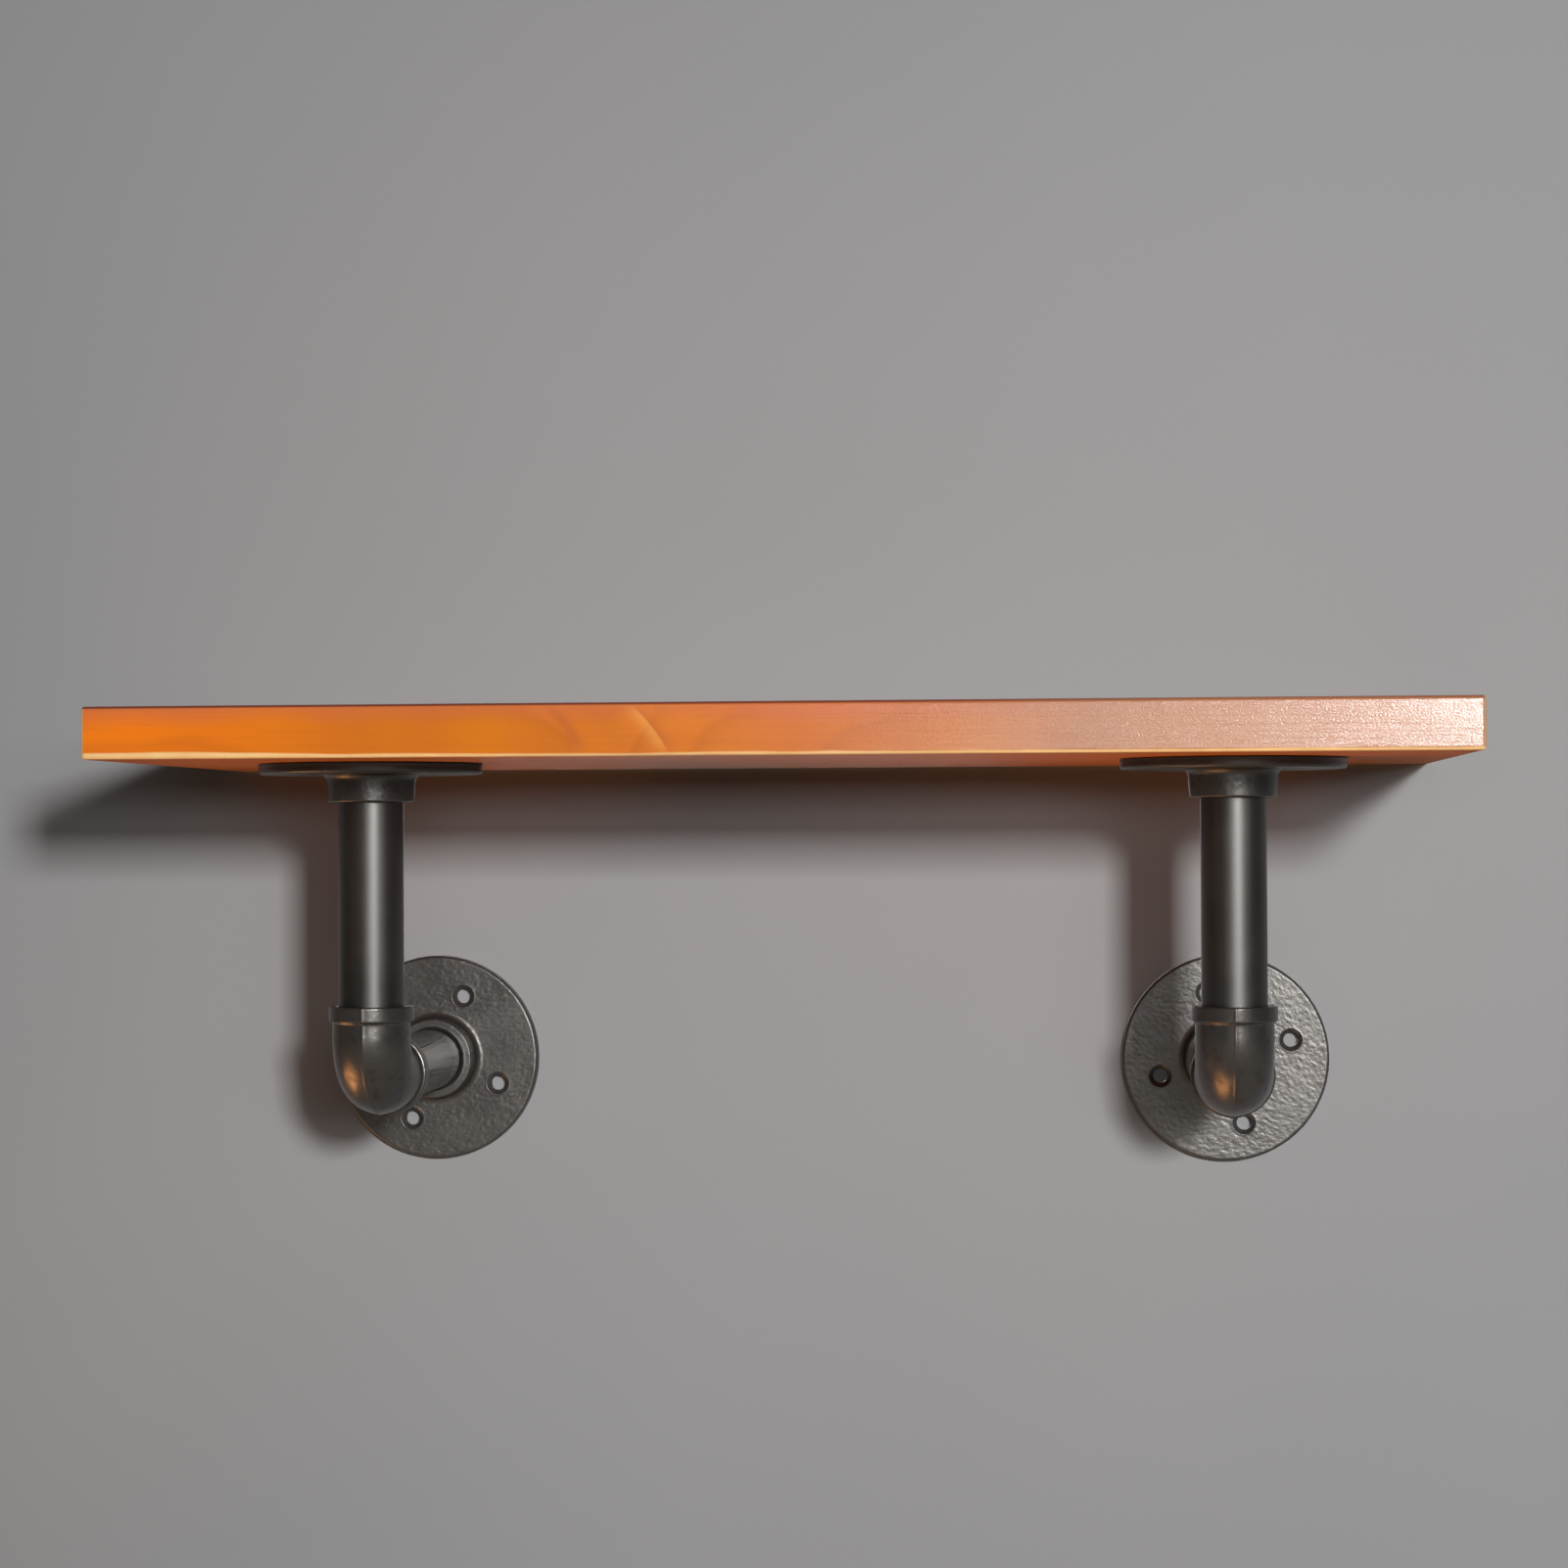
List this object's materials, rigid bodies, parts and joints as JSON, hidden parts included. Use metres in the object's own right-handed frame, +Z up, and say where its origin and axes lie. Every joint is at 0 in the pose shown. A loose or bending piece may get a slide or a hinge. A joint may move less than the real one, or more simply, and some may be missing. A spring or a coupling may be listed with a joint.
{
  "type": "pipe wall shelf",
  "caption": "Industrial style wall shelf: a stained wood board carried on brackets of threaded black iron pipe, elbows and round floor flanges.",
  "frame": {"origin": "on the wall plane, midway between the centres of the two wall flanges", "axes": "+X runs right along the wall, +Y points into the wall, +Z is up"},
  "size_m": [0.52, 0.22, 0.1905],
  "materials": {
    "board_wood": "stained and varnished",
    "flange_casting": "black painted sand casting",
    "elbow_casting": "black painted casting",
    "pipe_steel": "satin black lacquer on steel pipe",
    "screw_steel": "black phosphated steel"
  },
  "bodies": {
    "root": {"shelf_board": "board_wood", "left_wall_flange": "flange_casting", "left_wall_pipe": "pipe_steel", "left_elbow": "elbow_casting", "left_riser_pipe": "pipe_steel", "left_board_flange": "flange_casting", "left_board_screw_1": "screw_steel", "left_board_screw_2": "screw_steel", "left_board_screw_3": "screw_steel", "left_board_screw_4": "screw_steel", "right_wall_flange": "flange_casting", "right_wall_pipe": "pipe_steel", "right_elbow": "elbow_casting", "right_riser_pipe": "pipe_steel", "right_board_flange": "flange_casting", "right_board_screw_1": "screw_steel", "right_board_screw_2": "screw_steel", "right_board_screw_3": "screw_steel", "right_board_screw_4": "screw_steel"}
  },
  "joints": []
}
